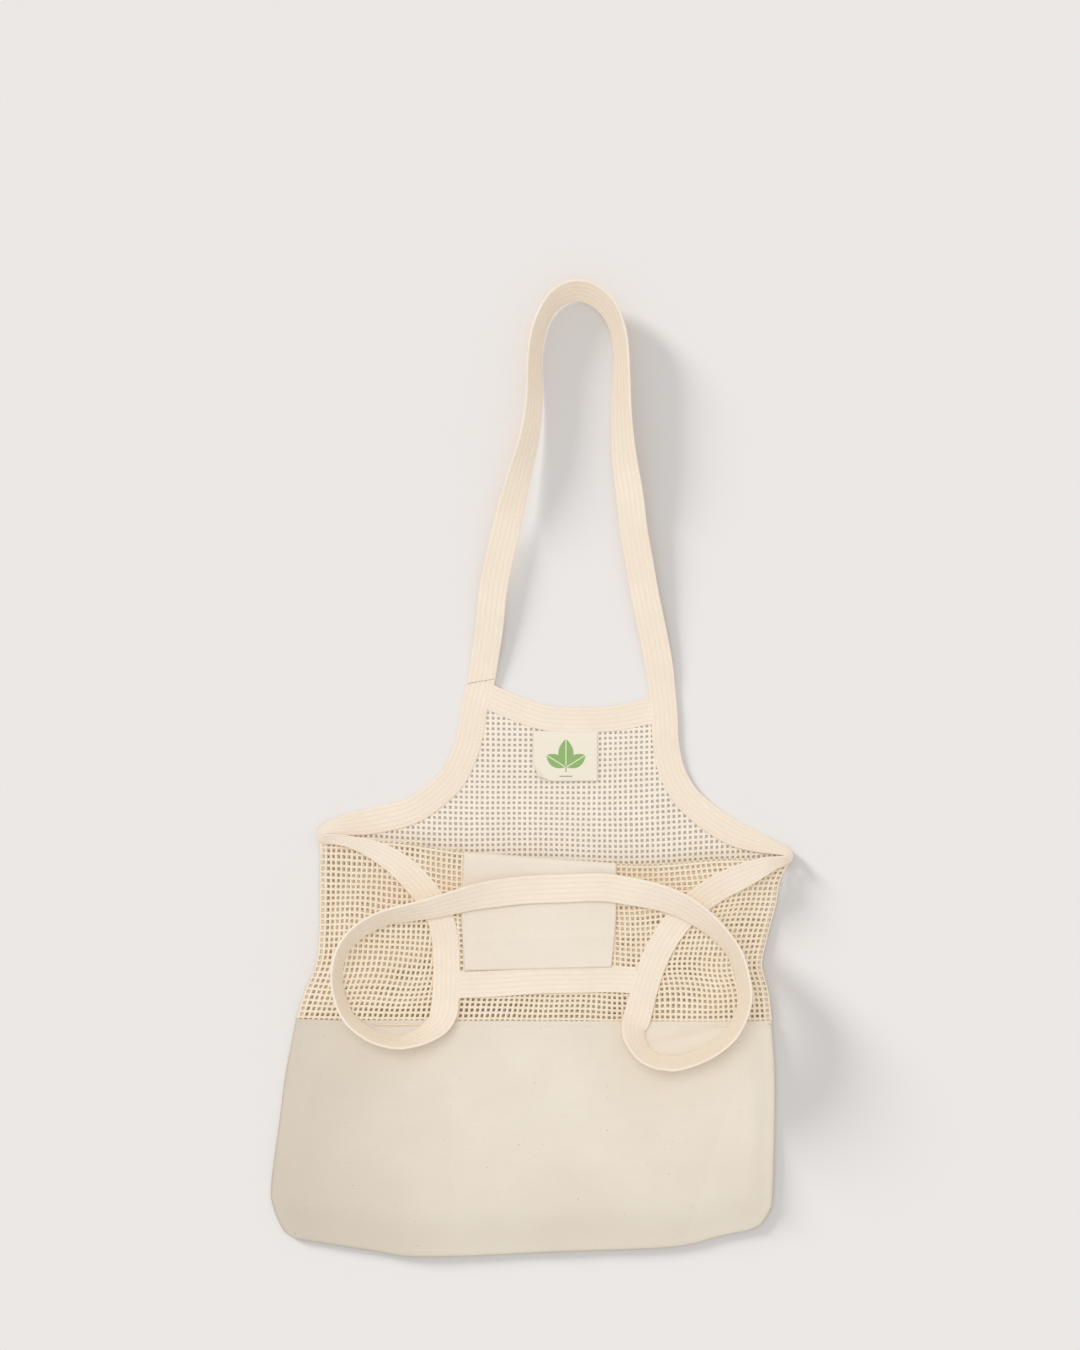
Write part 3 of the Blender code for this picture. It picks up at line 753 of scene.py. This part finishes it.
def crest_height(x, y):
    """Middle of the turn where the front folds over into the bib."""
    return bib_height(x, y) + CLOTH / 2 - FOLD_RADIUS


def near_fold(x, y):
    """1 on the fold, falling away on both sides of it."""
    return np.exp(-((y - along_x(FOLD, x)) / 7.0) ** 2)


def front_surface(plan):
    x, y = plan[..., 0], plan[..., 1]
    flat = front_middle(x, y) - 0.45 * ramp(8 - (y - along_x(SEAM, x)), 8)
    dip = crest_height(x, y) - FOLD_RADIUS - flat
    return flat + dip * near_fold(x, y) + 0.16 * waves(x, y, 45, 24)


front_grid = np.dstack([front_plan, front_surface(front_plan)])
top = front_plan[-1]
ROW_TURN = math.radians(38)         # one row of the net round the fold


def round_fold(angle):
    """The row of the net at this angle up from the middle of the turn."""
    return np.stack([top[:, 0], top[:, 1] + FOLD_RADIUS * math.cos(angle),
                     crest_height(top[:, 0], top[:, 1]) + FOLD_RADIUS * math.sin(angle)], 1)


front_grid = np.concatenate([front_grid, [round_fold(-ROW_TURN), round_fold(0.0)]])
front_net = net("front_net", front_grid, np.ones(front_grid.shape[:2], bool), NET_COTTON,
                seed=32)

bib_rows = np.arange(0, 96, half)
slant = np.interp(top[:, 0], [-140, 0, 90, 170], [0.02, 0.0, 0.06, 0.30])
over, down = top[None, :, 0], bib_rows[:, None]
free = ramp(down, 20)
bib_x = over + slant[None] * down + waves(over, down, 70, 26) * free
bib_y = top[None, :, 1] - down + 1.1 * waves(over, down, 70, 25) * free
bib_z = bib_height(bib_x, bib_y) + CLOTH / 2 + 0.1 * waves(bib_x, bib_y, 40, 27)
bib_grid = np.dstack([bib_x, bib_y, bib_z])
bib_grid = np.concatenate([[round_fold(0.0), round_fold(ROW_TURN)], bib_grid])
BIB_LEFT_LINE = smooth([p[:2] for p in LEFT_ARMHOLE[13:23]], 3)
BIB_RIGHT_LINE = smooth([p[:2] for p in RIGHT_ARMHOLE[12:22]], 3)
bib_outline = ([(-137.0, -40.0)] + BIB_LEFT_LINE.tolist() + smooth(HEM, 3).tolist()
               + BIB_RIGHT_LINE[::-1].tolist() + [(168.0, -50.0)])
bib_net = net("bib_net", bib_grid, inside(bib_grid, bib_outline), NET_COTTON,
              skip_first_row=True, seed=33)

# ---- the pocket, sewn on the bib and turned over its fold ----

POCKET_LEFT = [(-44.5, -132.0), (-46.5, -94.5), (-45.0, -58.0)]
POCKET_RIGHT = [(52.0, -129.5), (55.0, -94.5), (55.0, -65.0)]
POCKET_FOLD = [(x, along_x(FOLD, x) - 3.0) for x in (-45.0, -25.0, -5.0, 15.0, 35.0, 55.0)]
POCKET_CLOTH = 0.8
POCKET_LIFT = 0.75                  # of its middle over the net of the bib
POCKET_TURN = 2.7                   # radius of its turn over the fold
POCKET_STITCH = 3.0                 # from its side edges in to the row that holds it

pocket_plan = patch(POCKET_LEFT[:-1] + POCKET_FOLD[:1], POCKET_RIGHT[:-1] + POCKET_FOLD[-1:],
                    [POCKET_LEFT[0], POCKET_RIGHT[0]], POCKET_FOLD, 66, 52)
px, py = pocket_plan[..., 0], pocket_plan[..., 1]
pz = bib_height(px, py) + CLOTH + POCKET_LIFT
edge_x = np.minimum(px - along_y(POCKET_LEFT, py), along_y(POCKET_RIGHT, py) - px)
pz = pz + 0.35 * waves(px, py * 2.2, 52, 41) * ramp(edge_x, 12)
pz += (crease(px, py, (-40, -112), (50, -109), 2.6, 0.5)
       - 0.25 * np.exp(-((edge_x - POCKET_STITCH) / 0.6) ** 2))
pocket_grid = np.dstack([pocket_plan, pz])
last = pocket_grid[-1]
wrap = []
for angle in range(18, 173, 22):
    a = math.radians(angle)
    wrap.append(np.stack([last[:, 0], last[:, 1] + POCKET_TURN * math.sin(a),
                          last[:, 2] - POCKET_TURN * (1 - math.cos(a))], 1))
wrap.append(wrap[-1] + np.array([0, -2.0, -0.2]))
pocket_grid = np.concatenate([pocket_grid, np.array(wrap)])
pocket = shell("pocket", pocket_grid, POCKET_CLOTH, POCKET_COTTON)

# ---- tapes ----


def laid(stations):
    """Stations whose height is None rest on the front."""
    done = []
    for x, y, low, lean, width in stations:
        if low is None:
            low = float(bib_height(np.array(x), np.array(y), width))
        done.append((x, y, low, lean, width))
    return done


handle_top = [(*p, STRAP_WIDTH if 0 < k < len(BACK_HANDLE) - 1 else 18.0)
              for k, p in enumerate(BACK_HANDLE)]
left_armhole, front_handle, right_armhole, back_handle = tapes(
    {"left_armhole_tape": laid(LEFT_ARMHOLE),
     "front_handle": [(*p, STRAP_WIDTH) for p in FRONT_LOOP],
     "right_armhole_tape": turned(laid(RIGHT_ARMHOLE)),
     "back_handle": turned(handle_top)}, TAPE_COTTON, "cotton_tape", seed=51, closed=True)
neck_tape = tape("back_neck_tape", [(x, y, 0.1, 0, 16.5) for x, y in NECKLINE], TAPE_COTTON,
                 "cotton_tape", thickness=1.45, seed=53)
hem_tape = tape("bib_hem_tape", laid([(x, y, None, 0, 17.5) for x, y in HEM]), TAPE_COTTON,
                "cotton_tape", thickness=1.5, seed=54)

# ---- seam allowances between back and front ----


def beside(line, distance):
    """The line moved sideways, positive to the right of its direction."""
    line = np.asarray(line, float)[:, :2]
    heading = unit(np.gradient(line, axis=0))
    return line + np.stack([heading[:, 1], -heading[:, 0]], 1) * distance


ALLOWANCE_INSET, ALLOWANCE_LEVEL, ALLOWANCE_WIDTH = 3.1, 1.55, 5.0


def allowance(name, line, side):
    """A narrow folded strip along a stretch of the outline; side is 1 for right of it."""
    moved = beside(line, side * ALLOWANCE_INSET)
    stations = [(x, y, ALLOWANCE_LEVEL, 0, ALLOWANCE_WIDTH) for x, y in moved[::3]]
    return tape(name, stations, SEAM_COTTON, "plain_cotton",
                thickness=0.6, seed=57, step=3.0, plain=True)


left_seam = allowance("left_seam_allowance", LEFT_EDGE[10:-4], 1)
right_seam = allowance("right_seam_allowance", RIGHT_EDGE[10:-4], -1)
bottom_seam = allowance("bottom_seam_allowance", BOTTOM_EDGE[3:-3], -1)

# ---- the label, with its low left corner curling up ----

LABEL_SIZE = (42.5, 33.2)
LABEL_CLOTH_THICKNESS = 0.45
CURL_REACH = 12.0                   # from the corner to where the curl and the lift end
lu, lv = np.meshgrid(np.linspace(0, LABEL_SIZE[0], 44), np.linspace(0, LABEL_SIZE[1], 32))
lx, ly = LABEL_CORNER[0] + lu, LABEL_CORNER[1] + lv
toward = (CURL_REACH - (lu + lv * 0.9)).clip(0)
lz = (1.0 + 0.7 * ramp(LABEL_SIZE[1] - 1.5 - lv, 4) + 0.035 * toward ** 2
      + 0.12 * waves(lx, ly, 30, 61) * ramp(LABEL_SIZE[1] - lv, 8))
lz += 0.5 * ramp(CURL_REACH - lv, CURL_REACH) * ramp(34 - lu, 30)
label_grid = np.dstack([lx + toward * 0.28, ly + toward * 0.28, lz])
label = shell("sewn_label", label_grid, LABEL_CLOTH_THICKNESS, LABEL_CLOTH,
              cloth=np.dstack([lu, lv, 0 * lu]))

# ---- dark thread across the join of the tape at the back handle's left root ----

JOIN_STITCHES, STITCH_PITCH, STITCH_LENGTH = 8, 2.3, 1.7
JOIN_LEVEL = 1.86                   # just above the face of the tape
THREAD_HALF_WIDTH, THREAD_HALF_THICK = 0.15, 0.1
STITCH_STEPS, STITCH_SIDES = 4, 6
section = np.arange(STITCH_SIDES) * math.tau / STITCH_SIDES
arch = 0.12 * np.sin(np.linspace(0.2, math.pi - 0.2, STITCH_STEPS))
stitches, faces, marks = [], [], []
for k in range(JOIN_STITCHES):
    begin = -9.0 + k * STITCH_PITCH
    for at, lift in zip(np.linspace(begin, begin + STITCH_LENGTH, STITCH_STEPS), arch):
        x = -33.9 + at * 0.985
        y = 57.9 + at * 0.17 + 0.06 * math.sin(k * 2.1)
        for a in section:
            stitches.append((x, y + THREAD_HALF_WIDTH * math.cos(a),
                             JOIN_LEVEL + lift + THREAD_HALF_THICK * math.sin(a)))
            marks.append((at, a, k))
    faces += rings_to_faces(STITCH_STEPS, STITCH_SIDES, k * STITCH_STEPS * STITCH_SIDES)
join = new_piece("tape_join_stitches", stitches, faces, marks, JOIN_THREAD)

# ---- what each piece stands for, and the body that some of them move with ----

for obj, nodes in ((front_base, ["front_base_panel"]), (back_base, ["back_base_panel"]),
                   (back_net, ["back_net_panel"]), (front_net, ["front_net_panel"]),
                   (bib_net, ["bib_net_panel"]), (pocket, ["bib_pocket"]),
                   (left_seam, ["side_seam_left"]), (right_seam, ["side_seam_right"]),
                   (bottom_seam, ["bottom_seam"]),
                   (left_armhole, ["back_left_binding", "bib_left_binding"]),
                   (right_armhole, ["back_right_binding", "bib_right_binding"]),
                   (neck_tape, ["back_neckline_binding"]), (hem_tape, ["front_neckline_binding"]),
                   (back_handle, ["back_handle_strap"]), (front_handle, ["front_handle_strap"]),
                   (label, ["back_label"])):
    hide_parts(*nodes)

for obj in (front_base, back_base, back_net, front_net, left_seam, right_seam, bottom_seam,
            neck_tape, join):
    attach(obj, "bag")
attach(hem_tape, "bib")


def hinge(name):
    """Place and direction of one joint of the record, as vectors."""
    joint = next(j for j in frame["joints"] if j["name"] == name)
    return Vector(joint["pos_m"]), Vector(joint["axis"]).normalized()


def bend(obj, joint, away, near, far):
    """Bake obj's transform where it stands; the points near and far millimetres off the joint's
    line on the away side are worked out but not used.
    """
    pos, axis = hinge(joint)
    out = Vector((away[0], away[1], 0.0))
    out = (out - axis * out.dot(axis)).normalized()
    pos + out * near * MM
    pos + out * far * MM
    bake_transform(obj)


for obj in (bib_net, pocket, left_armhole, right_armhole):
    bend(obj, "bib_fold", (0, -1), 9.0, 33.0)
bend(label, "label_flip", (0, -1), -1.2, 2.5)
bend(back_handle, "back_handle_swing", (0, 1), 3.0, 30.0)
bend(front_handle, "front_handle_swing", (0, 1), 6.0, 42.0)


# ---- studio, in metres: pale floor, even white surroundings and two soft far lights ----

FLOOR_REACH, FLOOR_LEVEL = 8.0, -0.0002
CAMERA_LENS, CAMERA_PLACE = 80.8, (0.0063, 0.0618, 2.0)
SKY_SHARE = 0.735                   # of the light on the floor; each far light gives the rest

floor_mesh = bpy.data.meshes.new("studio_floor")
corners = [(x * FLOOR_REACH, y * FLOOR_REACH, FLOOR_LEVEL)
           for x, y in ((-1, -1), (1, -1), (1, 1), (-1, 1))]
floor_mesh.from_pydata(corners, [], [(0, 1, 2, 3)])
floor = bpy.data.objects.new("studio_floor", floor_mesh)
bpy.context.scene.collection.objects.link(floor)
paper = bpy.data.materials.new("pale_paper")
paper.use_nodes = True
paper_shader = paper.node_tree.nodes["Principled BSDF"]
paper_shader.inputs["Base Color"].default_value = linear(236, 232, 229)
paper_shader.inputs["Roughness"].default_value = 1.0
paper_shader.inputs["Specular IOR Level"].default_value = 0.0
floor_mesh.materials.append(paper)

scene = bpy.context.scene
world = bpy.data.worlds.new("soft_box")
world.use_nodes = True
world.node_tree.nodes["Background"].inputs["Color"].default_value = (1.0, 1.0, 1.0, 1.0)
world.node_tree.nodes["Background"].inputs["Strength"].default_value = SKY_SHARE
scene.world = world


def soft_sun(name, side, height, spread, lit):
    """A broad far light from one side that lights only the given objects."""
    data = bpy.data.lights.new(name, "SUN")
    data.energy = (1 - SKY_SHARE) * math.pi / math.sin(math.radians(height))
    data.angle = math.radians(spread)
    light = bpy.data.objects.new(name, data)
    level, rise = math.cos(math.radians(height)), math.sin(math.radians(height))
    towards = Vector((*(Vector(side).normalized() * level), rise))
    light.rotation_euler = towards.to_track_quat("Z", "Y").to_euler()
    scene.collection.objects.link(light)
    receivers = bpy.data.collections.new(name + "_lit")
    for obj in lit:
        receivers.objects.link(obj)
    light.light_linking.receiver_collection = receivers


the_bag = [obj for obj in scene.objects if obj.type == "MESH" and obj != floor]
soft_sun("window_light", (-1.0, 0.75), 16.0, 14.0, [floor])
soft_sun("ceiling_light", (-0.7, 1.0), 68.0, 35.0, the_bag)

camera_data = bpy.data.cameras.new("overhead")
camera_data.lens = CAMERA_LENS
camera = bpy.data.objects.new("overhead", camera_data)
camera.location = CAMERA_PLACE
scene.collection.objects.link(camera)
scene.camera = camera
scene.view_settings.view_transform = "Standard"
scene.view_settings.look = "None"
